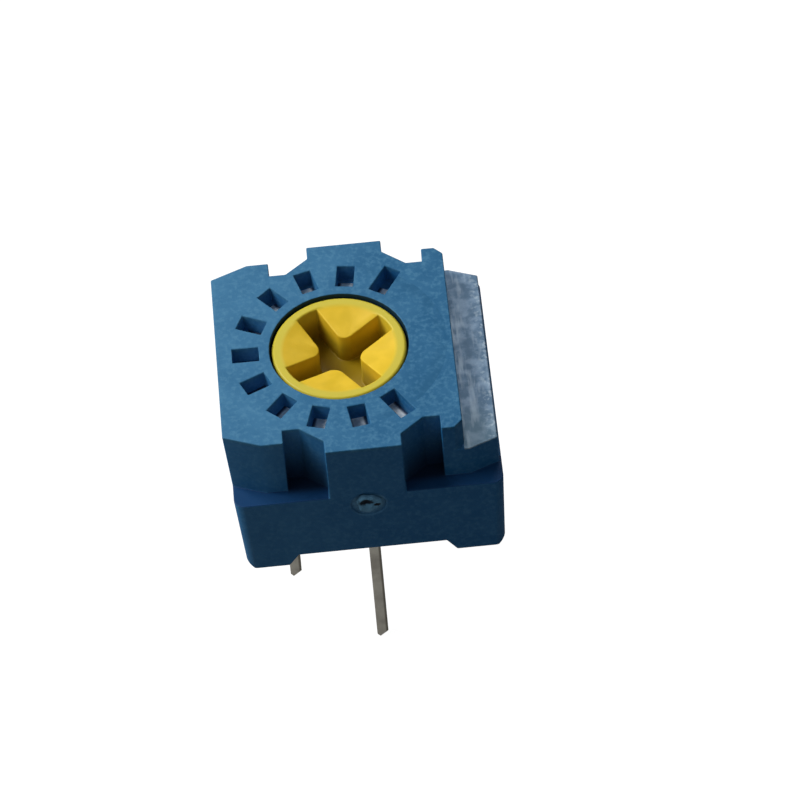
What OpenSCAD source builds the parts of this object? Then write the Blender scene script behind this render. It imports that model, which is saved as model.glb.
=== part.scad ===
// Single-turn trimmer potentiometer, square, top adjust, for a printed circuit board.
// The origin is on the rotor's axis, at the face of the board. X runs to the right, Y to the back.

/* [Body] */
// Width of the body, left to right
body_w = 8.1; // [7.9:0.1:9]
// Depth of the body, front to back
body_d = 8.1; // [8:0.1:9]
// How far the rotor's axis lies to the left of the body's middle
axis_offset = 0.42; // [0.3:0.02:0.5]
// Drop from the top plate to the ledge
ledge_drop = 2.15; // [1.8:0.05:2.2]
// How far the front, back and right walls draw in from the top plate to the board
skirt_draft = 0.1; // [0.02:0.01:0.2]
// How far the left wall draws in from the top plate to the board
left_draft = 0.3; // [0.1:0.01:0.34]
// Radius of the base's upright corners
corner_r = 0.3; // [0.1:0.05:0.4]
// Drop from the top plate to the printing shelf
shelf_drop = 1.05; // [0.6:0.05:1.2]
// Width of the printing shelf beside the top plate
shelf_w = 1.12; // [1:0.02:1.3]
// How far the shelf's outer end stands back from the base's right wall
shelf_setback = 0.12; // [0.02:0.01:0.2]
// How far the shelf narrows at its outer end, front and back
shelf_taper = 0.34; // [0.1:0.02:0.6]
// Length of the corner cut between the top plate and the shelf
plate_cut = 0.25; // [0.1:0.05:0.4]
// Width of the middle tab, front and back
tab_w = 2.24; // [2.1:0.02:2.4]
// Length of the middle tab's straight sides
tab_neck = 0.45; // [0.3:0.01:0.5]
// Run of a notch's slanting side for each millimetre of its depth
notch_slant = 1.25; // [1:0.05:1.3]
// How far the outer tabs stand back from the base's face
tab_setback = 0.5; // [0.3:0.05:0.6]
// Distance from the body's middle to the notch's outer side
notch_reach = 2.3; // [2.2:0.05:2.5]
// Wall left between a notch's floor and the bore round the flange
notch_wall = 0.25; // [0.2:0.01:0.35]
// Length of the corner cut on the left, along the width
left_cut_x = 1.1; // [0.6:0.1:1.4]
// Length of the corner cut on the left, along the depth
left_cut_y = 0.45; // [0.3:0.05:0.6]
// Drop from the ledge to the middle of the moulding gate's dish
gate_drop = 0.42; // [0.4:0.02:0.7]
// Diameter of the moulding gate's dish on the front
gate_d = 1.04; // [0.8:0.02:1.2]
// Depth of the moulding gate's dish
gate_depth = 0.1; // [0.05:0.01:0.14]
// Diameter of the broken stub in the dish
gate_stub_d = 0.44; // [0.3:0.02:0.6]

/* [Feet] */
// Height of the feet below the base
foot_h = 0.45; // [0.4:0.05:0.6]
// Width of the gap between the feet, at the board
foot_gap = 5; // [4.8:0.1:5.4]
// Width of the slope on a foot's inner side
foot_slope = 0.3; // [0.2:0.02:0.5]
// Size of the slanting cut along a foot's outer lower edge
foot_cut = 0.2; // [0.1:0.02:0.3]

/* [Dial] */
// Distance from the rotor's bore to a window
window_margin = 0.31; // [0.25:0.01:0.35]
// Length of a window, outwards from the rotor
window_l = 0.8; // [0.6:0.05:0.8]
// Width of a window
window_w = 0.53; // [0.4:0.01:0.65]
// Extra outward length of the two end windows
window_end_extra = 0.22; // [0:0.02:0.3]
// Depth of a window
window_depth = 0.6; // [0.2:0.02:0.66]
// Angle from one window to the next
window_step = 24.5; // [22:0.5:25]
// Number of windows on each side of the middle one
window_side_count = 5; // [4:1:5]

/* [Rotor] */
// Diameter of the rotor in the top plate
rotor_d = 4; // [3.8:0.05:4.1]
// Radial clearance of the rotor in its bore
rotor_gap = 0.06; // [0.03:0.01:0.08]
// How far the rotor's rim lies below the top plate
rotor_drop = 0.08; // [0:0.02:0.2]
// Width of the rotor's flat rim
rim_w = 0.24; // [0.15:0.01:0.3]
// Depth of the dish's lip at the rim
dish_rim_depth = 0.04; // [0.02:0.01:0.12]
// Width of the dish's sloping lip at the rim
dish_lip_w = 0.12; // [0.05:0.01:0.2]
// Depth of the dish at the middle
dish_mid_depth = 0.34; // [0.2:0.02:0.45]
// Width of the driver slots
slot_w = 0.7; // [0.5:0.02:0.8]
// Distance from a driver slot's end to the rotor's flat rim
slot_margin = 0.06; // [0:0.02:0.3]
// Depth of the driver slots below the rim
slot_depth = 1.3; // [0.9:0.05:1.5]
// Angle of the first driver slot at mid travel
slot_angle = 31; // [0:1:89]
// Radius on the pads' corners, at the middle of the cross
slot_corner_r = 0.32; // [0.1:0.02:0.4]
// How far the rotor's flange stands out under the top plate
flange_w = 0.5; // [0.46:0.01:0.52]
// Thickness of the rotor's flange
flange_t = 0.7; // [0.5:0.05:0.8]
// How far the stop lug stands out from the flange
lug_h = 0.22; // [0.18:0.01:0.24]
// Angle that the stop lug covers
lug_angle = 24; // [16:1:30]
// Turn of the rotor to each side of mid travel
half_travel = 122.5; // [110:0.5:125]
// Angle left between the lug and the stop rib at each end of the travel
stop_play = 0.5; // [0.3:0.1:1]

/* [Seal and bore] */
// Thickness of the top plate over the seal
plate_t = 1.05; // [0.95:0.05:1.15]
// Gap round the flange in its bore
cavity_gap = 0.3; // [0.28:0.01:0.34]
// Radial height of the stop rib in the bore
rib_h = 0.2; // [0.18:0.01:0.22]
// Cross-section diameter of the rubber ring
seal_d = 0.54; // [0.5:0.02:0.6]
// Gap above the rubber ring, closed by its squeeze in use
seal_gap = 0.02; // [0.01:0.01:0.05]

/* [Element] */
// Height of the wiper's space above the element
wiper_space = 0.62; // [0.5:0.02:0.65]
// Width of the ceramic left outside the solder joints
element_edge = 0.37; // [0.3:0.01:0.42]
// Thickness of the ceramic element
element_t = 0.6; // [0.5:0.05:0.7]
// Radius of the ceramic element's corners
element_r = 0.5; // [0.3:0.05:0.8]
// Gap round the ceramic element in its pocket
element_gap = 0.05; // [0.03:0.01:0.08]
// Thickness of the printed track and end pads
print_t = 0.04; // [0.02:0.01:0.05]
// Width of the silver left between a pin's hole and the gap beside the track
pad_neck = 0.21; // [0.17:0.01:0.32]
// Width of the resistive track
track_w = 0.5; // [0.4:0.02:0.56]
// Angle that an end pad covers past the end of the track
pad_angle = 30; // [20:1:36]
// Gap between an end pad and the side of the track
print_gap = 0.08; // [0.04:0.01:0.1]
// Thickness of the sealing resin under the element
resin_t = 1; // [0.7:0.02:1.2]
// How far the sealing resin stands back from the base's underside
resin_recess = 0.15; // [0.05:0.01:0.25]

/* [Wiper] */
// Thickness of the wiper's strip
wiper_t = 0.1; // [0.06:0.01:0.12]
// Diameter of the wiper's hub
hub_d = 1.9; // [1.6:0.05:2.1]
// Width of one contact finger
finger_w = 0.34; // [0.2:0.02:0.4]
// Angle between the two contact fingers
finger_angle = 22; // [20:1:28]
// Gap between a contact and what it wipes, closed by the spring in use
contact_gap = 0.02; // [0.01:0.01:0.03]
// Diameter of the stake that holds the wiper to the rotor
stake_d = 0.9; // [0.7:0.05:1]

/* [Pins] */
// Distance between neighbouring pins along each axis
pin_pitch = 2.5; // [2.4:0.02:2.6]
// Thickness of a pin, left to right
pin_t = 0.35; // [0.3:0.01:0.4]
// Width of a pin, front to back
pin_w = 0.42; // [0.35:0.01:0.46]
// Length of an end pin below the board's face
pin_reach = 5.45; // [3:0.05:6]
// How much shorter the wiper pin is than the end pins
wiper_pin_cut = 0.25; // [0:0.05:0.4]
// How far the end pins stand to the right of the rotor's axis
pin_row_x = 0.48; // [0.42:0.02:0.5]
// Gap round a pin in the ceramic element
pin_gap = 0.03; // [0.02:0.01:0.05]
// Height of the slanting cut at a pin's tip
tip_cut = 0.25; // [0.1:0.01:0.4]
// Width of the shoulder under the ceramic element
shoulder_w = 0.8; // [0.6:0.02:0.9]
// Height of the shoulder under the ceramic element
shoulder_h = 0.3; // [0.2:0.02:0.4]
// Diameter of the middle contact in the ceramic element
button_d = 0.8; // [0.6:0.02:0.9]
// Diameter of a solder joint on the ceramic element
solder_d = 0.86; // [0.8:0.01:0.88]
// Height of a solder joint
solder_h = 0.2; // [0.12:0.01:0.24]
// Gap round a solder joint in its relief
solder_gap = 0.1; // [0.06:0.01:0.12]

/* [Hidden] */
$fn = 96;
// Overlap that lets a cut break cleanly through a face
eps = 0.01;
half_w = body_w / 2;
half_d = body_d / 2;
// Heights above the board, stacked from the feet up to the top plate
resin_under_z = foot_h + resin_recess;
element_under_z = resin_under_z + resin_t;
element_top_z = element_under_z + element_t;
rotor_under_z = element_top_z + wiper_space;
flange_top_z = rotor_under_z + flange_t;
plate_under_z = flange_top_z + seal_d + seal_gap;
body_h = plate_under_z + plate_t;
ledge_z = body_h - ledge_drop;
shelf_z = body_h - shelf_drop;
rim_z = body_h - rotor_drop;
// Sizes that follow the rotor, outwards from it
bore_d = rotor_d + 2 * rotor_gap;
flange_d = rotor_d + 2 * flange_w;
cavity_d = flange_d + 2 * cavity_gap;
dish_r = rotor_d / 2 - rim_w;
slot_l = 2 * (dish_r - slot_margin);
notch_y = cavity_d / 2 + notch_wall;
// Sizes that follow the pins
element_w = 2 * (pin_pitch + solder_d / 2 + element_edge);
track_r = pin_pitch - pin_w / 2 - pin_gap - pad_neck - print_gap - track_w / 2;
pocket_w = element_w + 2 * element_gap;
plate_right_x = half_w - shelf_w;
outer_y = half_d - tab_setback;
slant_y = half_d - tab_neck;
slant_run = (slant_y - notch_y) * notch_slant;
rib_angle = 2 * (180 - half_travel - stop_play) - lug_angle;
track_end = window_step * window_side_count;
front = -1;
back = 1;

// Points of an arc, as a list, from one angle to another
function arc(x, y, r, from, to, steps = 8) =
    [for (i = [0:steps]) let (a = from + (to - from) * i / steps) [x + r * cos(a), y + r * sin(a)]];

// Flat pie slice that reaches past everything, centred on an angle
module slice(middle, width, reach = 2 * body_w) {
    polygon(concat([[0, 0]], arc(0, 0, reach, middle - width / 2, middle + width / 2, 12)));
}

// Flat ring
module ring(outer_r, inner_r) {
    difference() {
        circle(outer_r);
        circle(inner_r);
    }
}

// Flat rectangle with round corners, centred
module round_rect(w, d, r) {
    square([w - 2 * r, d], center = true);
    square([w, d - 2 * r], center = true);
    for (sx = [-1, 1], sy = [-1, 1])
        translate([sx * (w / 2 - r), sy * (d / 2 - r)])
            circle(r, $fn = 48);
}

// Solid inside the four outer walls, which widen evenly from the board up to the top plate
module walls() {
    low_left = left_draft - half_w;
    low_right = half_w - skirt_draft;
    low_y = half_d - skirt_draft;
    growth_x = body_w / (low_right - low_left);
    growth_y = half_d / low_y;
    still_x = (low_left * growth_x + half_w) / (growth_x - 1);
    left_x = low_left + corner_r - still_x;
    right_x = low_right - corner_r - still_x;
    corner_y = low_y - corner_r;
    translate([still_x, 0, 0])
        linear_extrude(body_h, scale = [growth_x, growth_y], slices = 1)
            polygon(concat(
                arc(right_x, corner_y, corner_r, 0, 90), arc(left_x, corner_y, corner_r, 90, 180),
                arc(left_x, -corner_y, corner_r, 180, 270), arc(right_x, -corner_y, corner_r, 270, 360)));
}

// Outline, seen from the front, with the slanting cuts along the feet's outer lower edges
module foot_cut_profile() {
    left_x = left_draft - half_w + foot_cut;
    right_x = half_w - skirt_draft - foot_cut;
    polygon([[left_x - 2 * body_h, 2 * body_h], [left_x, 0], [right_x, 0], [right_x + 2 * body_h, 2 * body_h]]);
}

// Outline of the gap between two feet, with sloping sides
module foot_gap_profile() {
    polygon([[-foot_gap / 2, -1], [-foot_gap / 2, 0], [-foot_gap / 2 + foot_slope, foot_h],
             [foot_gap / 2 - foot_slope, foot_h], [foot_gap / 2, 0], [foot_gap / 2, -1]]);
}

// One half of the upper part's outline, behind the middle line. It runs past the outer walls,
// so that the walls alone shape the left side and the tabs' faces.
module upper_half_outline() {
    tab_x = tab_w / 2;
    floor_x = tab_x + slant_run;
    shelf_end_x = half_w - shelf_setback;
    polygon([
        [-half_w - left_cut_x, -eps], [-half_w - left_cut_x, outer_y - 2 * left_cut_y],
        [-half_w + left_cut_x, outer_y], [-notch_reach, outer_y], [-notch_reach, notch_y],
        [-floor_x, notch_y], [-tab_x, slant_y], [-tab_x, body_d],
        [tab_x, body_d], [tab_x, slant_y], [floor_x, notch_y], [notch_reach, notch_y],
        [notch_reach, outer_y], [plate_right_x + shelf_w / 8, outer_y],
        [shelf_end_x, outer_y - shelf_taper], [shelf_end_x, -eps]]);
}

// Outline of what is cut away above the shelf, with small corner cuts at the top plate
module shelf_cut_outline() {
    inner_x = plate_right_x - plate_cut;
    cut_y = outer_y - plate_cut;
    polygon([[inner_x, -body_d], [inner_x, -outer_y], [plate_right_x, -cut_y], [plate_right_x, cut_y],
             [inner_x, outer_y], [inner_x, body_d], [2 * body_w, body_d], [2 * body_w, -body_d]]);
}

// Steps that the walls are cut to: the base up to the ledge, then the upper part with its shelf
module steps() {
    translate([-body_w, -body_d, -1])
        cube([2 * body_w, 2 * body_d, ledge_z + 1]);
    difference() {
        translate([0, 0, ledge_z / 2])
            linear_extrude(body_h)
                union() {
                    upper_half_outline();
                    mirror([0, 1])
                        upper_half_outline();
                }
        translate([0, 0, shelf_z])
            linear_extrude(body_h)
                shelf_cut_outline();
    }
}

// Solid moulding, from its four feet up to the top plate
module moulding_block() {
    difference() {
        intersection() {
            walls();
            steps();
            rotate([90, 0, 0])
                linear_extrude(2 * body_d, center = true)
                    foot_cut_profile();
        }
        for (turn = [0, 90])
            rotate([90, 0, turn])
                linear_extrude(2 * body_w, center = true)
                    foot_gap_profile();
    }
}

// Dial windows: shallow pockets round the rotor, the two end ones longer
module dial_windows() {
    for (i = [-window_side_count:window_side_count]) {
        extra = abs(i) == window_side_count ? window_end_extra : 0;
        rotate(180 + i * window_step)
            translate([bore_d / 2 + window_margin, -window_w / 2, body_h - window_depth])
                cube([window_l + extra, window_w, window_depth + 1]);
    }
}

// Space for the rotor, seal, wiper and element, open at the underside
module inner_space() {
    translate([0, 0, plate_under_z - eps])
        cylinder(h = plate_t + 1, d = bore_d);
    difference() {
        translate([0, 0, element_top_z - eps])
            cylinder(h = plate_under_z - element_top_z + eps, d = cavity_d);
        translate([0, 0, element_top_z - 1])
            linear_extrude(plate_under_z - element_top_z + 2)
                intersection() {
                    ring(cavity_d / 2 + 1, cavity_d / 2 - rib_h);
                    slice(0, rib_angle);
                }
    }
    translate([axis_offset, 0, -1])
        linear_extrude(element_top_z + 1)
            round_rect(pocket_w, pocket_w, element_r);
    for (side = [front, back])
        translate([pin_row_x, side * pin_pitch, element_top_z - eps])
            cylinder(h = print_t + solder_h + solder_gap + eps, d = solder_d + 2 * solder_gap, $fn = 48);
}

// Moulding gate on the front face: a shallow dish with the broken stub in it
module gate_dish() {
    gate_z = ledge_z - gate_drop;
    front_y = -half_d + skirt_draft * (1 - gate_z / body_h);
    translate([axis_offset, front_y, gate_z])
        rotate([-90, 0, 0])
            difference() {
                translate([0, 0, -1])
                    cylinder(h = 1 + gate_depth, d = gate_d, $fn = 48);
                translate([0, 0, gate_depth / 3])
                    cylinder(h = 1, d = gate_stub_d, $fn = 32);
            }
}

module housing() {
    color([0.2, 0.42, 0.58])
        difference() {
            translate([axis_offset, 0, 0])
                moulding_block();
            inner_space();
            dial_windows();
            gate_dish();
        }
}

// Cross outline of the driver slots, with round corners where the pads point to the middle
module cross_outline() {
    half_slot = slot_w / 2;
    for (a = [0, 90])
        rotate(a)
            intersection() {
                square([slot_l, slot_w], center = true);
                circle(slot_l / 2);
            }
    difference() {
        square(slot_w + 2 * slot_corner_r, center = true);
        for (sx = [-1, 1], sy = [-1, 1])
            translate([sx * (half_slot + slot_corner_r), sy * (half_slot + slot_corner_r)])
                circle(slot_corner_r, $fn = 48);
    }
}

module rotor() {
    rotor_r = rotor_d / 2;
    lug_r = flange_d / 2 + lug_h;
    flat_r = slot_w / 2;
    rim_cut = 0.06;
    color([0.93, 0.8, 0.22]) {
        difference() {
            rotate_extrude()
                polygon([
                    [0, rotor_under_z], [flange_d / 2, rotor_under_z], [flange_d / 2, flange_top_z],
                    [rotor_r, flange_top_z], [rotor_r, rim_z - rim_cut], [rotor_r - rim_cut, rim_z],
                    [dish_r, rim_z], [dish_r - dish_lip_w, rim_z - dish_rim_depth],
                    [flat_r, rim_z - dish_mid_depth], [0, rim_z - dish_mid_depth]]);
            translate([0, 0, rim_z - slot_depth])
                rotate(slot_angle)
                    linear_extrude(slot_depth + 1)
                        cross_outline();
        }
        translate([0, 0, rotor_under_z])
            linear_extrude(flange_t)
                intersection() {
                    ring(lug_r, rotor_r);
                    slice(180, lug_angle);
                }
        translate([0, 0, rotor_under_z - wiper_t])
            cylinder(h = wiper_t + eps, d = stake_d, $fn = 48);
    }
}

module seal_ring() {
    color([0.16, 0.16, 0.15])
        translate([0, 0, flange_top_z + seal_d / 2])
            rotate_extrude()
                translate([rotor_d / 2 + seal_d / 2, 0])
                    circle(d = seal_d, $fn = 32);
}

// Side outline of one contact finger: flat at the hub, then down to a round contact on the track
module finger_profile(reach, drop) {
    contact_r = 0.12;
    contact_z = -drop + contact_r;
    heel = 0.02;
    start = hub_d / 2 - 2 * wiper_t;
    polygon(concat(
        [[start, 0], [start, -wiper_t], [start + 2.5 * wiper_t, -wiper_t]],
        arc(reach, contact_z, contact_r, 235, 360),
        [[reach + contact_r, contact_z + contact_r], [reach + heel, contact_z + contact_r],
         [reach - heel, contact_z + heel], [start + 3 * wiper_t, 0]]));
}

// One leaf under the hub, bent down to the middle contact
module middle_leaf(drop) {
    half_leaf = 0.87 * hub_d / 2;
    bend = 0.45 * half_leaf;
    thinning = 0.06;
    rotate([90, 0, 0])
        linear_extrude(finger_w, center = true)
            polygon([[-half_leaf, -wiper_t / 2], [-half_leaf, -wiper_t],
                     [-bend, -drop], [0, -drop], [0, -drop + wiper_t],
                     [-bend + thinning, -drop + wiper_t]]);
}

module wiper() {
    drop = wiper_space - print_t - contact_gap;
    color([0.85, 0.7, 0.4])
        translate([0, 0, rotor_under_z])
            difference() {
                union() {
                    translate([0, 0, -wiper_t])
                        cylinder(h = wiper_t, d = hub_d, $fn = 64);
                    for (side = [-1, 1])
                        rotate(180 + side * finger_angle / 2)
                            rotate([90, 0, 0])
                                linear_extrude(finger_w, center = true)
                                    finger_profile(track_r, drop);
                    middle_leaf(drop);
                }
                translate([0, 0, -wiper_t - eps])
                    cylinder(h = wiper_t + 2 * eps, d = stake_d, $fn = 48);
            }
}

// Rectangular hole for a pin in the ceramic element
module pin_hole(side) {
    translate([pin_row_x, side * pin_pitch])
        square([pin_t + 2 * pin_gap, pin_w + 2 * pin_gap], center = true);
}

module ceramic_element() {
    color([0.92, 0.91, 0.87])
        translate([0, 0, element_under_z])
            linear_extrude(element_t)
                difference() {
                    translate([axis_offset, 0])
                        round_rect(element_w, element_w, element_r);
                    for (side = [front, back])
                        pin_hole(side);
                    circle(d = button_d + 2 * pin_gap, $fn = 48);
                }
}

module resistive_track() {
    color([0.12, 0.12, 0.13])
        translate([0, 0, element_top_z])
            linear_extrude(print_t)
                intersection() {
                    ring(track_r + track_w / 2, track_r - track_w / 2);
                    slice(180, 2 * track_end);
                }
}

// Flat outline of the back end pad, from the track's end out to the pin
module end_pad_outline() {
    end_angle = 180 - track_end;
    outer_r = track_r + track_w / 2;
    far_angle = end_angle - pad_angle;
    difference() {
        union() {
            intersection() {
                circle(outer_r);
                slice(end_angle - pad_angle / 2, pad_angle);
            }
            translate([pin_row_x, pin_pitch])
                circle(d = solder_d, $fn = 48);
            polygon([[pin_row_x, pin_pitch + pin_w / 2],
                     [track_r * cos(end_angle), track_r * sin(end_angle)],
                     [outer_r * cos(far_angle), outer_r * sin(far_angle)],
                     [pin_row_x + solder_d / 2, pin_pitch]]);
        }
        circle(track_r - track_w / 2);
        intersection() {
            circle(outer_r + print_gap);
            slice(180, 2 * track_end);
        }
        pin_hole(back);
    }
}

// Silver pad that joins one end of the track to its pin
module end_pad(side) {
    color([0.75, 0.75, 0.74])
        translate([0, 0, element_top_z])
            linear_extrude(print_t)
                if (side == front)
                    mirror([0, 1])
                        end_pad_outline();
                else
                    end_pad_outline();
}

// One straight pin, cut off at a slant, from its tip up to a height
module pin_blade(tip_z, top_z) {
    rotate([90, 0, 0])
        linear_extrude(pin_w, center = true)
            polygon([[-pin_t / 2, top_z], [-pin_t / 2, tip_z + tip_cut / 2],
                     [-pin_t / 4, tip_z], [pin_t / 2, tip_z + tip_cut], [pin_t / 2, top_z]]);
}

module end_pin(side) {
    color([0.62, 0.6, 0.56])
        translate([pin_row_x, side * pin_pitch, 0]) {
            pin_blade(-pin_reach, element_top_z + print_t);
            translate([-pin_t / 2, -shoulder_w / 2, element_under_z - shoulder_h])
                cube([pin_t, shoulder_w, shoulder_h]);
        }
}

// Wiper pin: a blade on the left, a strip to the rotor's axis, and the button that the wiper rides on
module pin_wiper() {
    pin_x = pin_row_x - pin_pitch;
    color([0.62, 0.6, 0.56]) {
        translate([pin_x, 0, 0])
            pin_blade(wiper_pin_cut - pin_reach, element_under_z);
        translate([pin_x - pin_t / 2, -shoulder_w / 2, element_under_z - shoulder_h])
            cube([pin_t / 2 + button_d / 2 - pin_x, shoulder_w, shoulder_h]);
        translate([0, 0, element_under_z - shoulder_h])
            cylinder(h = shoulder_h + element_t + print_t, d = button_d, $fn = 48);
    }
}

// Solder joint over a pin's end, with a bare edge of the pad round it
module solder(side) {
    bare_edge = 0.05;
    color([0.8, 0.8, 0.8])
        translate([pin_row_x, side * pin_pitch, element_top_z + print_t])
            cylinder(h = solder_h, d1 = solder_d - 2 * bare_edge, d2 = pin_w, $fn = 48);
}

// Resin that closes the underside and holds the pins
module sealing_resin() {
    color([0.2, 0.23, 0.26])
        difference() {
            translate([axis_offset, 0, resin_under_z])
                linear_extrude(element_under_z - resin_under_z)
                    round_rect(pocket_w, pocket_w, element_r);
            end_pin(front);
            end_pin(back);
            pin_wiper();
        }
}

housing();
rotor();
seal_ring();
wiper();
ceramic_element();
resistive_track();
end_pad(front);  // end_pad_front
end_pad(back);  // end_pad_back
end_pin(front);  // pin_front
end_pin(back);  // pin_back
pin_wiper();
solder(front);  // solder_front
solder(back);  // solder_back
sealing_resin();
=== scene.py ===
# %% [markdown]
# # A trimmer potentiometer, dressed for the camera
# A trimmer is a small resistor that is set once with a screwdriver. The construction comes in as a
# fixed frame, in metres: a blue moulded housing, a yellow rotor, three pins and the parts inside.
# This file gives them rounded edges and real finishes, then lights them and places the camera.

# %% Load the frame
import math

import bmesh
import bpy
import numpy as np
from mathutils import Matrix, Vector


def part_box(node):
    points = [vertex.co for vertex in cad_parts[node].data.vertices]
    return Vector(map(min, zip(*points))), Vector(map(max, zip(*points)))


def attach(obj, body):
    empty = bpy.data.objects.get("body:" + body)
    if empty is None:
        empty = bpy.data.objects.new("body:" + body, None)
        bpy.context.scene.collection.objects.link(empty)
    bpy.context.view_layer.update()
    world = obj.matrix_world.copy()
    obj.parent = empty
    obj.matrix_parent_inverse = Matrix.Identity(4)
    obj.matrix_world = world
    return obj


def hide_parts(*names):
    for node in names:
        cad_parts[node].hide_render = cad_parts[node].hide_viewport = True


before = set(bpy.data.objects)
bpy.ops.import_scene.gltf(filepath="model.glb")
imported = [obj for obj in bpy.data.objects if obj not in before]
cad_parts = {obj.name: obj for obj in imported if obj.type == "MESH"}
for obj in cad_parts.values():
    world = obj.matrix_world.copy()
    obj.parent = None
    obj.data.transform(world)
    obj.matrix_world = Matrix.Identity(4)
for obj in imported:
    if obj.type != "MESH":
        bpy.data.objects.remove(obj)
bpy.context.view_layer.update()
MM = 0.001
MICRON = 0.001 * MM
print("pieces in the frame:", sorted(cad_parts))

# %% [markdown]
# ## The places that the finishes refer to
# A finish often changes at an edge of the moulding, such as the smooth shelf beside the matt top. Heights
# are counted down from the top plate, which is read from the frame. The other places are the moulding's own
# sizes, counted from the rotor's axis.

# %% Heights and pins
TOP_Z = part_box("housing")[1].z
PIN_TIP_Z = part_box("pin_front")[0].z
SHELF_Z, LEDGE_Z, WINDOW_FLOOR_Z = TOP_Z - 1.05 * MM, TOP_Z - 2.15 * MM, TOP_Z - 0.6 * MM
RIM_Z = TOP_Z - 0.08 * MM
SLOT_UPPER_Z, SLOT_LOWER_Z, SLOT_FLOOR_Z = RIM_Z - 0.3 * MM, RIM_Z - 0.9 * MM, RIM_Z - 1.29 * MM
PIN_ROW_X, PIN_PITCH = 0.48 * MM, 2.5 * MM
PIN_PLACES = ((PIN_ROW_X, -PIN_PITCH), (PIN_ROW_X, PIN_PITCH), (PIN_ROW_X - PIN_PITCH, 0.0))
print("the top plate stands", round(TOP_Z / MM, 2), "mm above the board")

# %% Places round the rotor
WINDOW_NEAR, WINDOW_FAR = 2.3 * MM, 3.02 * MM
WINDOW_STEP = math.radians(24.5)
WINDOW_HALF = 0.265 * MM
DISH_RADIUS = 1.76 * MM
ARC_RADIUS = 3.2 * MM
BORE_SHADE_RADIUS, BORE_SHADE_Z = 2.085 * MM, TOP_Z - 0.012 * MM
print("a dial window every", round(math.degrees(WINDOW_STEP), 1), "degrees")

# %% Places on the sides
BODY_MIDDLE_X = 0.42 * MM
SHELF_START_X = 3.35 * MM
LEDGE_INNER_Y = 3.0 * MM
TAB_HALF = 1.15 * MM
FRONT_WALL_Y = -4.0 * MM
GATE_X, GATE_Z = 0.42 * MM, 2.56 * MM
print("the gate's mark is", round((LEDGE_Z - GATE_Z) / MM, 2), "mm below the ledge")

# %% [markdown]
# ## Camera
# The photograph was taken from the front and above with a long lens, the camera turned a little about
# its own axis. Fitting a pinhole camera to the edges of the body gave the place, the aim and the turn.
# A camera is built here from those three, because they say more than a table of angles would.

# %% Camera
CAMERA_PLACE = Vector((0.25, -87.8, 104.38)) * MM
CAMERA_AIM = Vector((1.66, 0.21, 2.18)) * MM
CAMERA_TURN = math.radians(-4.92)
FOCAL_PIXELS = 4500
PICTURE_PIXELS = 800
SENSOR_WIDTH = 36.0


def aimed_matrix(place, aim, turn):
    """Axes of a camera: it looks along place to aim, level, then turned about that line."""
    ahead = (aim - place).normalized()
    level_right = ahead.cross(Vector((0, 0, 1))).normalized()
    level_up = level_right.cross(ahead)
    right = level_right * math.cos(turn) + level_up * math.sin(turn)
    up = level_up * math.cos(turn) - level_right * math.sin(turn)
    turned = Matrix((right, up, -ahead)).transposed().to_4x4()
    return Matrix.Translation(place) @ turned


camera_data = bpy.data.cameras.new("camera")
camera_data.sensor_width = SENSOR_WIDTH
camera_data.lens = SENSOR_WIDTH * FOCAL_PIXELS / PICTURE_PIXELS
camera_data.clip_start = 1 * MM
camera_data.clip_end = 10.0
camera = bpy.data.objects.new("camera", camera_data)
camera.matrix_world = aimed_matrix(CAMERA_PLACE, CAMERA_AIM, CAMERA_TURN)
bpy.context.scene.collection.objects.link(camera)
bpy.context.scene.camera = camera
LOOK_DOWN = math.degrees(math.asin((CAMERA_PLACE - CAMERA_AIM).normalized().z))
print("lens", round(camera_data.lens, 1), "mm, looking down by", round(LOOK_DOWN), "degrees")

# %% [markdown]
# ## Shader maths as plain expressions
# A finish is a formula over the surface. Wrapping a socket in a small class lets the formula be written
# as Python: every operator adds one Math node. Colours go through Mix, because a Math node turns them grey.


# %% A wrapped socket
FLAT_REACH = 0.02 * MM


class Wire:
    """A shader socket that can be added to, multiplied by and compared with others, or plain numbers."""

    def __init__(self, shader, source):
        self.shader = shader
        self.source = source

    def _math(self, operation, left, right=None):
        inputs = {0: left} if right is None else {0: left, 1: right}
        return self.shader.node("ShaderNodeMath", {"operation": operation}, inputs)

    def __add__(self, other):
        return self._math("ADD", self, other)

    def __radd__(self, other):
        return self._math("ADD", other, self)

    def __sub__(self, other):
        return self._math("SUBTRACT", self, other)

    def __rsub__(self, other):
        return self._math("SUBTRACT", other, self)

    def __mul__(self, other):
        return self._math("MULTIPLY", self, other)

    def __rmul__(self, other):
        return self._math("MULTIPLY", other, self)

    def __gt__(self, other):
        return self._math("GREATER_THAN", self, other)

    def __lt__(self, other):
        return self._math("LESS_THAN", self, other)

    def size(self):
        """The value without its sign."""
        return self._math("ABSOLUTE", self)

    def root(self):
        """Square root."""
        return self._math("SQRT", self)

    def angle(self, x):
        """Angle in radians of the point with this y and the given x."""
        return self._math("ARCTAN2", self, x)

    def nearest(self, step):
        """How far the value lies from the nearest multiple of a step, with its sign."""
        return self - self._math("ROUND", self * (1 / step)) * step

    def rise(self, start, end):
        """0 below start, 1 above end, and an S-shaped rise between."""
        settings = {"interpolation_type": "SMOOTHSTEP"}
        inputs = {"Value": self, "From Min": start, "From Max": end}
        return self.shader.node("ShaderNodeMapRange", settings, inputs, "Result")


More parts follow.
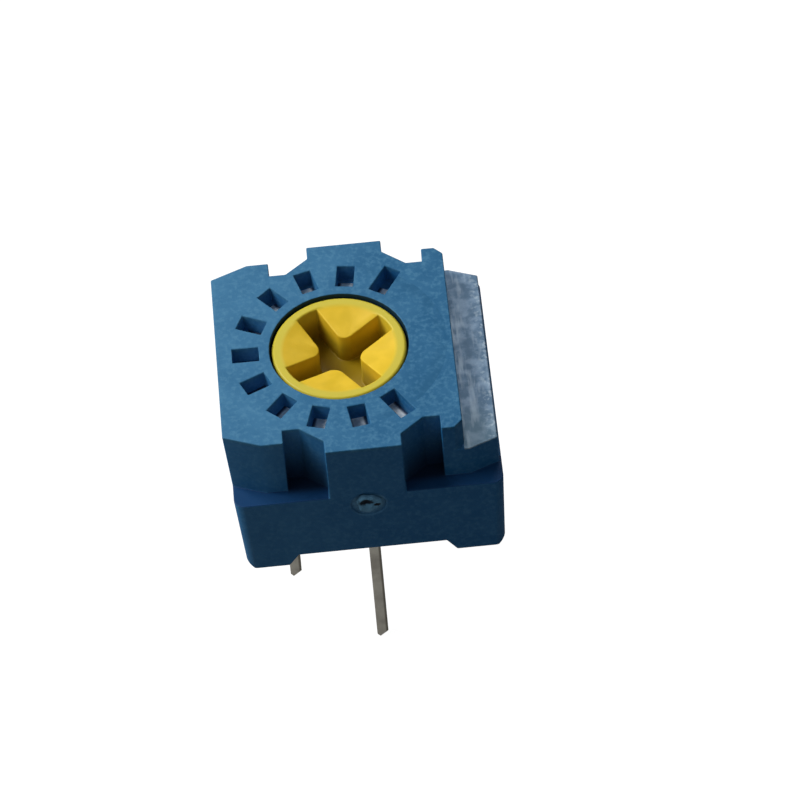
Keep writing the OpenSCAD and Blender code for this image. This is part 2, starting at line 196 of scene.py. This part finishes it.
class Shader:
    """One material: its node tree, its Principled shader and the coordinates that it reads."""

    def __init__(self, name):
        self.material = bpy.data.materials.new(name)
        self.material.use_nodes = True
        self.tree = self.material.node_tree
        self.principled = self.tree.nodes["Principled BSDF"]
        self.place = self.node("ShaderNodeTexCoord", {}, {}, "Object")
        self.x, self.y, self.z = self.split(self.place)

    def node(self, kind, settings, inputs, output=0):
        """Adds a node: settings first, then the values or wires of its sockets."""
        made = self.tree.nodes.new(kind)
        for key, value in settings.items():
            setattr(made, key, value)
        for key, value in inputs.items():
            if isinstance(value, Wire):
                self.tree.links.new(value.source, made.inputs[key])
            else:
                made.inputs[key].default_value = value
        return Wire(self, made.outputs[output])

    def split(self, vector):
        """The three numbers of a vector."""
        made = self.tree.nodes.new("ShaderNodeSeparateXYZ")
        self.tree.links.new(vector.source, made.inputs[0])
        return [Wire(self, made.outputs[i]) for i in range(3)]

    def noise(self, size, detail=3.0, stretch=(1, 1, 1)):
        """Noise with lumps of about the given size, from 0 to 1; stretch makes them longer one way."""
        scale = tuple(1 / s for s in stretch)
        moved = self.node("ShaderNodeMapping", {}, {"Vector": self.place, "Scale": scale})
        inputs = {"Vector": moved, "Scale": 1 / size, "Detail": detail}
        return self.node("ShaderNodeTexNoise", {}, inputs, "Fac")

    def level(self, height):
        """1 on flat faces at a height, 0 elsewhere."""
        return (self.z > height - FLAT_REACH) * (self.z < height + FLAT_REACH)

    def blend(self, amount, first, second):
        """A colour between two colours.

        Of a Mix node of colours, input 0 is the factor, 6 and 7 are the colours, and output 2 is the mix.
        """
        made = self.tree.nodes.new("ShaderNodeMix")
        made.data_type = "RGBA"
        for socket, value in ((0, amount), (6, first), (7, second)):
            if isinstance(value, Wire):
                self.tree.links.new(value.source, made.inputs[socket])
            else:
                made.inputs[socket].default_value = value
        return Wire(self, made.outputs[2])

    def layers(self, colour, *layers):
        """A colour with others laid over it, each given as how much of it shows, and the colour."""
        for amount, above in layers:
            colour = self.blend(amount, colour, above)
        return colour

    def bump(self, height, depth, strength=1.0):
        """Bumps of the given depth in metres."""
        inputs = {"Height": height, "Distance": depth, "Strength": strength}
        return self.node("ShaderNodeBump", {}, inputs, "Normal")

    def set(self, **sockets):
        """Sets sockets of the Principled shader; underscores in a name stand for spaces."""
        for key, value in sockets.items():
            socket = self.principled.inputs[key.replace("_", " ")]
            if isinstance(value, Wire):
                self.tree.links.new(value.source, socket)
            else:
                socket.default_value = value
        return self.material


# %% Distances and colours
def distance(first, second):
    """How far a point lies from another, from the two wires that hold its offsets."""
    return (first * first + second * second).root()


def linear(red, green, blue):
    """A colour given as it looks on a screen, from 0 to 255, turned into the light that it means."""
    parts = [channel / 255 for channel in (red, green, blue)]
    light = [p / 12.92 if p < 0.04045 else ((p + 0.055) / 1.055) ** 2.4 for p in parts]
    return (*light, 1.0)


# %% [markdown]
# ## Where the blue moulding changes
# The housing is one moulding, so it gets one material. What differs from place to place is written as a
# mask: a formula that is 1 where something applies and 0 elsewhere. Painting each face by itself would work
# too, but a mask stays right when the mesh changes, and it can fade softly, as shade in a notch does.
# Each pair below is the stretch over which a mask rises from 0 to 1.

# %% Where the masks fade
NOTCH_BACK_Y, NOTCH_BOTTOM_Z = 2.9 * MM, LEDGE_Z - 0.03 * MM
NOTCH_SIDE, NOTCH_END = (1.0 * MM, 1.2 * MM), (2.3 * MM, 2.34 * MM)
NOTCH_MOUTH, NOTCH_RISE = (3.45 * MM, 3.75 * MM), (LEDGE_Z, LEDGE_Z + 1.9 * MM)
ARC_RISE, ARC_START = (ARC_RADIUS - 0.55 * MM, ARC_RADIUS - 0.05 * MM), (0.4 * MM, 1.6 * MM)
GATE_EDGE, GATE_SHADE = (0.4 * MM, 0.6 * MM), (GATE_Z + 0.12 * MM, GATE_Z + 0.36 * MM)
WALL_SHADE_RISE = (TOP_Z - 0.2 * MM, TOP_Z - 0.03 * MM)
print("the notches are shaded over", round((NOTCH_RISE[1] - NOTCH_RISE[0]) / MM, 2), "mm of height")


# %% Masks of the moulding
def in_windows(s, out):
    """1 on the floors of the dial windows; out is the distance from the rotor's axis."""
    return (out > WINDOW_NEAR) * (out < WINDOW_FAR) * s.level(WINDOW_FLOOR_Z)


def ledge_shadow(s):
    """1 on the ledge beside the tabs, where the upper block's shadow is painted. It ends short of the walls,
    where it would draw a line.
    """
    beside_tab = (s.x - BODY_MIDDLE_X).size() > TAB_HALF
    return s.level(LEDGE_Z) * beside_tab * (s.y.size() > LEDGE_INNER_Y)


def in_notch(s):
    """1 deep inside the four notches, 0 at their mouths and elsewhere: little light gets down there."""
    aside, ahead = (s.x - BODY_MIDDLE_X).size(), s.y.size()
    within = aside.rise(*NOTCH_SIDE) * (1.0 - aside.rise(*NOTCH_END))
    behind = (ahead > NOTCH_BACK_Y) * (1.0 - ahead.rise(*NOTCH_MOUTH))
    deep = (1.0 - s.z.rise(*NOTCH_RISE)) * (s.z > NOTCH_BOTTOM_Z)
    return within * behind * deep


def on_arc(s, out):
    """1 towards the outer edge of a faint ring on the top, at the right of the rotor."""
    ring = out.rise(*ARC_RISE) * (out < ARC_RADIUS)
    return ring * s.x.rise(*ARC_START) * s.level(TOP_Z)


def in_gate(s):
    """1 in the dish round the gate's stub, 0 along its upper edge, which shades itself."""
    from_gate = distance(s.x - GATE_X, s.z - GATE_Z)
    dish = (1.0 - from_gate.rise(*GATE_EDGE)) * (s.y < FRONT_WALL_Y + 0.2 * MM)
    return dish * (1.0 - s.z.rise(*GATE_SHADE))


def bore_gap_shade(s, out):
    """1 on the wall round the rotor, just below the top, where the shade in the gap beside the rotor is
    painted near black.
    """
    return (out < BORE_SHADE_RADIUS) * (s.z < BORE_SHADE_Z)


# %% [markdown]
# ## Matt skin of the moulding
# Most of the housing is finely matt, as a spark-eroded mould leaves it. Painted light makes it a little paler
# towards the left, and it is specked all over. Other blues are laid over that where the masks say so, one
# after another; those on the ledge, the walls, the notches and the bore are painted shade.

# %% Matt skin
# The first two blues mix slow mottling with painted light: the pale one is the lit left, the deep one the
# shaded right.
DARK_MOTTLE_AND_SHADED_BLUE, PALE_MOTTLE_AND_LIT_BLUE, SPECK_BLUE = linear(14, 84, 126), linear(60, 118, 156), linear(84, 138, 170)
LEDGE_SHADOW_BLUE, WALL_SHADE_BLUE, NOTCH_BLUE = linear(0, 28, 56), linear(22, 92, 158), linear(4, 32, 60)
ARC_BLUE, GATE_BLUE, BORE_SHADE_BLACK = linear(20, 84, 122), linear(116, 172, 206), linear(6, 24, 20)


def matt_skin(s, out, speck, patch, cloud):
    """Two thirds of the tone are painted light, paler on the left and falling off to the right; one third
    comes from slow clouds.
    """
    painted_light_falloff = (s.x * 0.8 - s.y * 0.2).rise(-4 * MM, 4 * MM)
    tone = cloud.rise(0.25, 0.75) * 0.35 + (1.0 - painted_light_falloff) * 0.65
    wall_shade = 1.0 - s.z.rise(*WALL_SHADE_RISE)
    return s.layers(
        s.blend(tone, DARK_MOTTLE_AND_SHADED_BLUE, PALE_MOTTLE_AND_LIT_BLUE),
        (speck.rise(0.4, 0.75) * 0.45, SPECK_BLUE),
        # painted shadow of the upper block on the ledge
        (ledge_shadow(s) * 0.95, LEDGE_SHADOW_BLUE),
        # painted shade: the walls below the top take the bluer hue that they have in shade
        (wall_shade * 0.3, WALL_SHADE_BLUE),
        (in_notch(s) * 0.9, NOTCH_BLUE),
        (on_arc(s, out) * patch.rise(0.3, 0.6) * 0.6, ARC_BLUE),
        (in_gate(s) * (0.4 + speck * 0.5), GATE_BLUE),
        # painted shade in the gap round the rotor
        (bore_gap_shade(s, out) * 0.85, BORE_SHADE_BLACK),
    )


# %% [markdown]
# ## Smooth shelf and window floors
# The printing shelf at the right was polished in the tool, so it catches the light; its silvery look is also
# painted into its colour as a reflection, with cloudy patches, streaks along its length, a painted fade
# towards the front and pale flecks at the outer edge. The dial windows are blind: their floors are pale in
# the middle, as painted light, and go navy where they meet the sides, as painted shade.

# %% Smooth shelf
# painted reflection: these grey-blue shelf tones stand for the bright light behind mirrored in the smooth
# shelf
SHELF_DULL_REFLECTION, SHELF_BRIGHT_REFLECTION = linear(76, 104, 130), linear(118, 142, 166)
SHELF_STREAK, SHELF_FRONT_FADE, SHELF_FLECK = linear(160, 178, 194), linear(84, 110, 118), linear(176, 194, 206)


def shelf_skin(s, speck, patch, cloud):
    """Painted silver reflection in two tones, with streaks six times as long as wide, a front end with a wavy
    limit where the painted reflection fades darker, and pale flecks at the outer edge.
    """
    streak = s.noise(0.16 * MM, 2.0, (1, 6, 1))
    front_fade = 1.0 - (s.y + cloud * (1.5 * MM)).rise(-2.4 * MM, -0.8 * MM)
    at_edge = (s.x - SHELF_START_X).rise(0.5 * MM, 1.1 * MM)
    return s.layers(
        s.blend(patch.rise(0.38, 0.68), SHELF_DULL_REFLECTION, SHELF_BRIGHT_REFLECTION),
        (streak.rise(0.5, 0.75) * 0.5, SHELF_STREAK),
        (front_fade * 0.35, SHELF_FRONT_FADE),
        (at_edge * speck.rise(0.5, 0.68) * 0.7, SHELF_FLECK),
    )


# %% Window floors
# painted light and shade on the window floors: pale in the lit middle, navy in the shade by the sides
FLOOR_PALE, FLOOR_PALER, WINDOW_FLOOR_SHADE = linear(180, 196, 208), linear(232, 240, 244), linear(16, 52, 86)


def window_floor_skin(s, out, patch):
    """Painted light, pale, where the arc to the middle of the nearest window is short, and painted shade,
    navy, where it is long.
    """
    to_middle = s.y.angle(s.x * -1.0).nearest(WINDOW_STEP)
    aside = (to_middle * out).size()
    near_middle = 1.0 - aside.rise(0.5 * WINDOW_HALF, 0.85 * WINDOW_HALF)
    pale = s.blend(patch.rise(0.35, 0.65), FLOOR_PALE, FLOOR_PALER)
    return s.blend(near_middle, WINDOW_FLOOR_SHADE, pale)


# %% [markdown]
# ## Blue moulding
# The three skins come together in one material. Four noises run through it, from fine grain to slow clouds,
# and the same ones drive colour, roughness and bump, so that a pale speck is also a rough one.


# %% Blue moulding
def blue_moulding():
    s = Shader("blue_moulding")
    grain, speck = s.noise(0.06 * MM, 4.0), s.noise(0.14 * MM, 4.0)
    patch, cloud = s.noise(0.35 * MM, 4.0), s.noise(0.9 * MM, 3.0)
    out = distance(s.x, s.y)
    on_shelf = (s.x > SHELF_START_X) * s.level(SHELF_Z)
    outside = s.blend(on_shelf, matt_skin(s, out, speck, patch, cloud), shelf_skin(s, speck, patch, cloud))
    return s.set(
        Base_Color=s.blend(in_windows(s, out), outside, window_floor_skin(s, out, patch)),
        Roughness=0.55 - on_shelf * 0.22 + (speck - 0.5) * 0.2 + in_notch(s) * 0.35,
        Metallic=on_shelf * 0.3,
        Normal=s.bump(grain + patch * 0.4 + speck * 0.5, 5 * MICRON, 0.6),
        Specular_IOR_Level=0.2,
    )


BLUE = blue_moulding()
print("the blue moulding takes", len(BLUE.node_tree.nodes), "nodes")

# %% [markdown]
# ## Yellow moulding
# The rotor is moulded in a smoother, slightly waxy plastic. Its rim is painted greener than the dished pads,
# as the grey sheen that the flat rim catches, and the cross slot is deep, so painted shade turns it ochre
# towards its floor. The distance from the axis tells rim from pad, and the height tells how deep in the slot
# a point lies.

# %% Yellow moulding
# The rim colour is a painted sheen on the flat rim.
PAD_YELLOW, PAD_LIGHT, RIM_SHEEN_YELLOW = linear(218, 182, 34), linear(232, 194, 46), linear(202, 186, 54)
# The slot ochres are painted shade, deeper towards the slot's floor.
SLOT_SHADE_OCHRE, SLOT_FLOOR_SHADE_OCHRE = linear(172, 146, 30), linear(150, 124, 8)


def yellow_moulding():
    s = Shader("yellow_moulding")
    grain, cloud = s.noise(0.05 * MM, 3.0), s.noise(0.7 * MM, 2.0)
    out = distance(s.x, s.y)
    rim_sheen = out.rise(DISH_RADIUS - 0.16 * MM, DISH_RADIUS + 0.02 * MM)
    slot_shade = 1.0 - s.z.rise(SLOT_LOWER_Z, SLOT_UPPER_Z)
    slot_floor_shade = 1.0 - s.z.rise(SLOT_FLOOR_Z, SLOT_LOWER_Z)
    pad = s.blend(cloud.rise(0.3, 0.7), PAD_YELLOW, PAD_LIGHT)
    return s.set(
        Base_Color=s.layers(pad, (rim_sheen, RIM_SHEEN_YELLOW), (slot_shade, SLOT_SHADE_OCHRE), (slot_floor_shade, SLOT_FLOOR_SHADE_OCHRE)),
        Roughness=0.42 + (grain - 0.5) * 0.12,
        Normal=s.bump(grain, 2 * MICRON, 0.5),
        Specular_IOR_Level=0.3,
    )


YELLOW = yellow_moulding()
print("the yellow moulding takes", len(YELLOW.node_tree.nodes), "nodes")

# %% [markdown]
# ## Tinned pins
# The pins are blades cut from strip and dipped in solder. Fine scratches run along them, and the tin has
# dulled to a warm grey; shade is painted on the edge that faces right. The end pins and the middle one stand
# one pitch apart, so the distance to the nearest multiple of the pitch finds that edge on all three.

# %% Tinned pins
TIN_BRIGHT, TIN_DULL, TIN_EDGE_SHADE = linear(240, 236, 222), linear(208, 203, 190), linear(128, 122, 108)


def tinned_metal():
    s = Shader("tinned_metal")
    scratch = s.noise(0.03 * MM, 3.0, (1, 1, 14))
    stain = s.noise(0.6 * MM, 4.0)
    right_edge_shade = (s.x - PIN_ROW_X).nearest(PIN_PITCH).rise(0.08 * MM, 0.13 * MM)
    tin = s.blend(stain.rise(0.35, 0.7), TIN_BRIGHT, TIN_DULL)
    return s.set(
        # painted shade on the right-facing edge of each pin
        Base_Color=s.blend(right_edge_shade * 0.8, tin, TIN_EDGE_SHADE),
        Metallic=0.9,
        Roughness=0.36 + scratch * 0.2,
        Normal=s.bump(scratch, 1.5 * MICRON, 0.6),
    )


TINNED = tinned_metal()
print("the tinned metal takes", len(TINNED.node_tree.nodes), "nodes")

# %% [markdown]
# ## Parts inside
# The rubber ring, the wiper, the ceramic and its prints show only when the part is taken to pieces, but
# each has its own finish, so that an opened model looks right too.


# %% Parts inside
def rubber():
    s = Shader("black_rubber")
    grain = s.noise(0.04 * MM, 3.0)
    return s.set(
        Base_Color=s.blend(grain, linear(22, 22, 22), linear(38, 38, 37)),
        Roughness=0.7 + grain * 0.15,
        Normal=s.bump(grain, 2 * MICRON),
    )


def spring_metal():
    s = Shader("spring_metal")
    rolled = s.noise(0.02 * MM, 2.0, (10, 1, 1))
    return s.set(
        Base_Color=s.blend(rolled, linear(196, 160, 92), linear(216, 184, 120)),
        Metallic=1.0,
        Roughness=0.25 + rolled * 0.15,
        Normal=s.bump(rolled, 0.5 * MICRON),
    )


def fired_ceramic():
    s = Shader("fired_ceramic")
    grain = s.noise(0.03 * MM, 4.0)
    return s.set(
        Base_Color=s.blend(grain, linear(228, 226, 218), linear(242, 240, 234)),
        Roughness=0.5 + grain * 0.2,
        Normal=s.bump(grain, 1.5 * MICRON),
    )


def fired_print(name, first, second, metallic):
    """A thin fired or melted layer: the track, the silver pads and the solder differ only in colour."""
    s = Shader(name)
    grain = s.noise(0.02 * MM, 4.0)
    return s.set(
        Base_Color=s.blend(grain, first, second),
        Metallic=metallic,
        Roughness=0.35 + grain * 0.3,
        Normal=s.bump(grain, MICRON),
    )


# %% [markdown]
# ## Torn plastic and resin
# Where the gate was broken off, the plastic stretched and turned pale, with two pits whose shade is painted
# dark. A pit is a mask on the distance from its middle, and a noise added to that distance makes its outline
# ragged. The resin was poured, so it is glossy and its colour swirls slowly.

# %% Torn plastic and resin
PITS = (
    (GATE_X - 0.08 * MM, GATE_Z + 0.13 * MM, 0.13 * MM),
    (GATE_X + 0.25 * MM, GATE_Z - 0.02 * MM, 0.07 * MM),
)
TORN_BLUE, TORN_PALE, PIT_SHADE = linear(84, 142, 182), linear(114, 166, 198), linear(4, 20, 36)


def torn_plastic():
    s = Shader("torn_plastic")
    wobble = (s.noise(0.12 * MM, 2.0) - 0.5) * (0.12 * MM)
    grain = s.noise(0.04 * MM, 3.0)
    colour = s.blend(grain, TORN_BLUE, TORN_PALE)
    for x, z, radius in PITS:
        from_pit = distance((s.x - x) * 0.6 + wobble, s.z - z + wobble)
        # painted shade in the two pits
        colour = s.blend(1.0 - from_pit.rise(0.7 * radius, 1.2 * radius), colour, PIT_SHADE)
    return s.set(
        Base_Color=colour,
        Roughness=0.6 + grain * 0.2,
        Normal=s.bump(grain, 8 * MICRON, 0.8),
        Specular_IOR_Level=0.2,
    )


def cast_resin():
    s = Shader("cast_resin")
    swirl = s.noise(0.8 * MM, 3.0)
    fine = s.noise(0.1 * MM, 3.0)
    return s.set(
        Base_Color=s.blend(swirl.rise(0.3, 0.7), linear(30, 52, 74), linear(42, 68, 92)),
        Roughness=0.22 + swirl * 0.2,
        Normal=s.bump(swirl + fine * 0.15, 12 * MICRON, 0.6),
    )


TORN = torn_plastic()
RESIN = cast_resin()
print("finishes so far:", [m.name for m in bpy.data.materials])

# %% [markdown]
# ## Rounded edges
# No moulding has a perfectly sharp edge, and the thin bright line along a rounded edge is most of what
# makes plastic look real. The frame's mesh is loose triangles, so a copy is merged first, flat triangles
# are joined into whole faces, and a Bevel modifier then rounds each edge where two faces meet sharply.

# %% Rounded copies
MERGE_DISTANCE = 5 * MICRON
SAME_PLANE = math.radians(1)
SHARP_ANGLE = math.radians(28)
FACE_WEIGHT = 80


def rounded_copy(node, name, body, material, radius, segments=3, kept_within=False):
    """A copy of a frame piece whose sharp edges are rounded to a radius; it stands for that piece."""
    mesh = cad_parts[node].data.copy()
    build = bmesh.new()
    build.from_mesh(mesh)
    bmesh.ops.remove_doubles(build, verts=build.verts, dist=MERGE_DISTANCE)
    bmesh.ops.dissolve_limit(build, angle_limit=SAME_PLANE, verts=build.verts, edges=build.edges)
    build.to_mesh(mesh)
    build.free()
    mesh.polygons.foreach_set("use_smooth", [True] * len(mesh.polygons))
    piece = bpy.data.objects.new(name, mesh)
    bpy.context.scene.collection.objects.link(piece)
    mesh.materials.clear()
    mesh.materials.append(material)
    bevel = piece.modifiers.new("rounded_edges", "BEVEL")
    bevel.width = radius
    bevel.segments = segments
    bevel.limit_method = "ANGLE"
    bevel.angle_limit = SHARP_ANGLE
    bevel.use_clamp_overlap = kept_within
    even = piece.modifiers.new("even_shading", "WEIGHTED_NORMAL")
    even.keep_sharp = True
    even.weight = FACE_WEIGHT
    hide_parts(node)
    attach(piece, body)
    print(name, "has", len(mesh.polygons), "faces before rounding")


# %% Housing, rotor and pins
MOULDED_EDGE, PIN_EDGE = 0.035 * MM, 0.025 * MM
rounded_copy("housing", "housing_shell", "body", BLUE, MOULDED_EDGE)
rounded_copy("rotor", "rotor_knob", "rotor", YELLOW, MOULDED_EDGE)
for side in ("front", "back", "wiper"):
    rounded_copy("pin_" + side, side + "_pin_blade", "body", TINNED, PIN_EDGE, 2, True)

# %% [markdown]
# ## Small forms that only show close up
# The moulding gate's stub was broken off, so its end is torn, not flat. The sealing resin was poured in as
# a liquid: it creeps along the walls and the pins a little and stays like that when it sets. Sculpting would
# do for either, but both are plain formulas on a grid of points, which give the same shape at each run.

# %% Grids into meshes
SAME_POINT = 0.01 * MICRON


def grid_faces(rows, columns, wrap):
    """Faces that join each point of a grid to the next one in its row and in the row after it.

    Point j of row i has the number i * columns + j; wrap joins the last point of a row to the first.
    """
    i, j = np.indices((rows - 1, columns if wrap else columns - 1))
    after = (j + 1) % columns
    corners = (i * columns + j, (i + 1) * columns + j, (i + 1) * columns + after, i * columns + after)
    return np.stack(corners, axis=-1).reshape(-1, 4)


def new_piece(name, points, faces, body, material):
    """A smooth piece from points and faces; points that share one place become one."""
    mesh = bpy.data.meshes.new(name)
    mesh.from_pydata(points.reshape(-1, 3).tolist(), [], faces.tolist())
    build = bmesh.new()
    build.from_mesh(mesh)
    bmesh.ops.remove_doubles(build, verts=build.verts, dist=SAME_POINT)
    build.to_mesh(mesh)
    build.free()
    mesh.polygons.foreach_set("use_smooth", [True] * len(mesh.polygons))
    mesh.materials.append(material)
    piece = bpy.data.objects.new(name, mesh)
    bpy.context.scene.collection.objects.link(piece)
    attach(piece, body)
    print(name, "has", len(mesh.polygons), "faces")


# %% Torn stub
GATE_PLACE = Vector((GATE_X, FRONT_WALL_Y, GATE_Z))
STUB_RADIUS, STUB_HEIGHT, STUB_ROOT = 0.36 * MM, 0.05 * MM, 0.07 * MM
HOLLOW_DEPTH, HOLLOW_WIDTH = 0.07 * MM, 0.13 * MM
HOLLOW_X, HOLLOW_Z = -0.07 * MM, 0.08 * MM


def torn_stub():
    """A short round stub on the front wall whose end is a rough, slanting break.

    Out runs from 0 in the middle to 1 at the edge, and turn goes once round. The radius is out times the
    stub's, swelled by three waves and seven waves per turn. The height is a slant, a slow sine and random
    roughness, less a bell-shaped hollow; over the last sixth it falls to the wall, and then behind it.
    """
    rings, spokes = 14, 40
    rng = np.random.default_rng(7)
    out = np.linspace(0, 1, rings)[:, None]
    turn = np.linspace(0, 2 * np.pi, spokes, endpoint=False)[None, :]
    radius = STUB_RADIUS * out * (1 + 0.1 * np.sin(3 * turn + 1) + 0.06 * np.sin(7 * turn))
    x, z = radius * np.cos(turn), radius * np.sin(turn)
    rough = rng.normal(0, 0.006, (rings, spokes)) * MM * np.sin(np.pi * out)
    hollow = HOLLOW_DEPTH * np.exp(-((x - HOLLOW_X) ** 2 + (z - HOLLOW_Z) ** 2) / HOLLOW_WIDTH ** 2)
    slant = 0.05 * z - 0.04 * x + 0.01 * MM * np.sin(x / (0.05 * MM))
    height = (STUB_HEIGHT + slant + rough - hollow) * np.clip((1 - out) * 6, 0, 1) - STUB_ROOT * (out > 0.999)
    points = np.stack([x, -height, z], axis=-1) + np.array(GATE_PLACE)
    new_piece("gate_stub", points, grid_faces(rings, spokes, True), "body", TORN)


torn_stub()

# %% Poured resin
RESIN_LOW, RESIN_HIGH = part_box("sealing_resin")
CREEP_HEIGHT, CREEP_REACH = 0.09 * MM, 0.16 * MM
PIN_HALF = 0.22 * MM
WAVE_HEIGHT = 0.012 * MM
RESIN_SKIN = 0.034 * MM


def poured_resin():
    """The resin's lower surface, lower by the walls and the pins where it has crept along them.

    Creep is 1 at a wall or a pin and falls off exponentially with the distance to the nearest one. The
    surface lies one skin below the construction's flat face, less the creep, plus two slow crossing waves
    where there is no creep. The points crowd towards the walls, as a cosine of an even step does.
    """
    count = 90
    eased = (1 - np.cos(np.pi * np.linspace(0, 1, count))) / 2
    along_x = RESIN_LOW.x + (RESIN_HIGH.x - RESIN_LOW.x) * eased
    along_y = RESIN_LOW.y + (RESIN_HIGH.y - RESIN_LOW.y) * eased
    x, y = np.meshgrid(along_x, along_y, indexing="ij")
    to_side = np.minimum(x - RESIN_LOW.x, RESIN_HIGH.x - x)
    to_end = np.minimum(y - RESIN_LOW.y, RESIN_HIGH.y - y)
    creep = np.exp(-np.minimum(to_side, to_end) / CREEP_REACH)
    for pin_x, pin_y in PIN_PLACES:
        to_pin = np.clip(np.hypot(x - pin_x, y - pin_y) - PIN_HALF, 0, None)
        creep = np.maximum(creep, np.exp(-to_pin / CREEP_REACH))
    wave = WAVE_HEIGHT * (np.sin(x / (0.7 * MM)) + np.cos(y / (0.9 * MM) + 1))
    z = RESIN_LOW.z - RESIN_SKIN - CREEP_HEIGHT * creep + wave * (1 - creep)
    points = np.stack([x, y, z], axis=-1)
    faces = grid_faces(count, count, False)[:, ::-1]
    new_piece("resin_surface", points, faces, "body", RESIN)


poured_resin()

# %% [markdown]
# ## Finishes of the remaining frame pieces
# The shapes of the inner pieces are right as they are, so they stay and only get their finish.

# %% Finish the frame pieces
PRINT_BLACK = fired_print("track_print", linear(30, 30, 32), linear(52, 52, 54), 0.0)
PRINT_SILVER = fired_print("silver_print", linear(196, 194, 188), linear(214, 212, 208), 0.9)
SOLDER = fired_print("solder_metal", linear(188, 188, 188), linear(204, 204, 204), 1.0)
FINISHES = {
    "seal_ring": rubber(),
    "wiper": spring_metal(),
    "ceramic_element": fired_ceramic(),
    "resistive_track": PRINT_BLACK,
    "end_pad_front": PRINT_SILVER,
    "end_pad_back": PRINT_SILVER,
    "solder_front": SOLDER,
    "solder_back": SOLDER,
    "sealing_resin": RESIN,
}
for name, material in FINISHES.items():
    for material_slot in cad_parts[name].material_slots:
        material_slot.material = material
print("frame pieces finished:", len(FINISHES))

# %% [markdown]
# ## Floor and world
# The part stands out against plain white. A pale floor lies under the pin tips and the world is white, but
# only to the camera. Light that spreads or glances off them is far weaker, because the real walls are
# much darker than the top. The Light Path node tells the kinds of ray apart.

# %% Floor and world
FLOOR_SIZE = 3.0
FLOOR_GLOW, FLOOR_GLOSS = 0.98, 0.12
FLOOR_COLOUR = (0.12, 0.12, 0.12, 1.0)
WORLD_SEEN, WORLD_GLOSS, WORLD_LIGHT = 1.0, 0.24, 0.18


def by_ray(shader_tree, seen, gloss, spread):
    """A value that depends on the ray: seen by the camera, met by a reflection, or met by spread light."""
    # Of a Mix node of numbers, input 0 is the factor, 2 the value where it is 0, and 3 where it is 1.
    path = shader_tree.nodes.new("ShaderNodeLightPath")
    value = spread
    for kind, level in (("Is Glossy Ray", gloss), ("Is Transmission Ray", seen), ("Is Camera Ray", seen)):
        mix = shader_tree.nodes.new("ShaderNodeMix")
        mix.data_type = "FLOAT"
        shader_tree.links.new(path.outputs[kind], mix.inputs[0])
        if isinstance(value, bpy.types.NodeSocket):
            shader_tree.links.new(value, mix.inputs[2])
        else:
            mix.inputs[2].default_value = value
        mix.inputs[3].default_value = level
        value = mix.outputs[0]
    return value


def floor_material():
    s = Shader("pale_floor")
    s.set(Base_Color=FLOOR_COLOUR, Roughness=0.9, Specular_IOR_Level=0.0, Emission_Strength=1.0)
    glow = by_ray(s.tree, FLOOR_GLOW, FLOOR_GLOSS, 0.0)
    s.tree.links.new(glow, s.principled.inputs["Emission Color"])
    return s.material


def plain_floor(height):
    half = FLOOR_SIZE / 2
    sides = ((-half, -half), (half, -half), (half, half), (-half, half))
    mesh = bpy.data.meshes.new("floor")
    mesh.from_pydata([(x, y, height) for x, y in sides], [], [[0, 1, 2, 3]])
    mesh.materials.append(floor_material())
    floor = bpy.data.objects.new("floor", mesh)
    bpy.context.scene.collection.objects.link(floor)
    return floor


def plain_world():
    world = bpy.data.worlds.new("plain_world")
    world.use_nodes = True
    background = world.node_tree.nodes["Background"]
    background.inputs["Color"].default_value = (1, 1, 1, 1)
    level = by_ray(world.node_tree, WORLD_SEEN, WORLD_GLOSS, WORLD_LIGHT)
    world.node_tree.links.new(level, background.inputs["Strength"])
    bpy.context.scene.world = world


plain_floor(PIN_TIP_Z - 0.02 * MM)
plain_world()
print("floor laid under the pin tips,", round(-PIN_TIP_Z / MM, 2), "mm below the board's face")

# %% [markdown]
# ## Lamps
# The light is soft and comes from the upper left, so the top and the rotor are bright, the right pad of the
# rotor more than the left one, and the front wall stays dark. A weak lamp from behind brightens the shelf,
# and another from the left keeps the left wall from going black.

# %% Lamps
LAMPS = (
    ("top_lamp", (-0.2, 0.08, 0.24), 0.18, 1.0),
    ("back_lamp", (0.03, 0.24, 0.26), 0.16, 0.2),
    ("side_lamp", (-0.3, -0.1, 0.2), 0.2, 0.15),
)


def soft_lamp(name, place, size, power):
    """A square soft lamp at a place, facing the middle of the part; power in watts."""
    data = bpy.data.lights.new(name, "AREA")
    data.shape = "SQUARE"
    data.size = size
    data.energy = power
    lamp = bpy.data.objects.new(name, data)
    lamp.matrix_world = aimed_matrix(Vector(place), Vector((0, 0, 0)), 0.0)
    bpy.context.scene.collection.objects.link(lamp)


for lamp_values in LAMPS:
    soft_lamp(*lamp_values)
print("lamps:", [lamp_values[0] for lamp_values in LAMPS])

# %% [markdown]
# ## View
# The Standard view shows a colour as it was given, which suits a plain product picture.

# %% View
bpy.context.scene.view_settings.view_transform = "Standard"
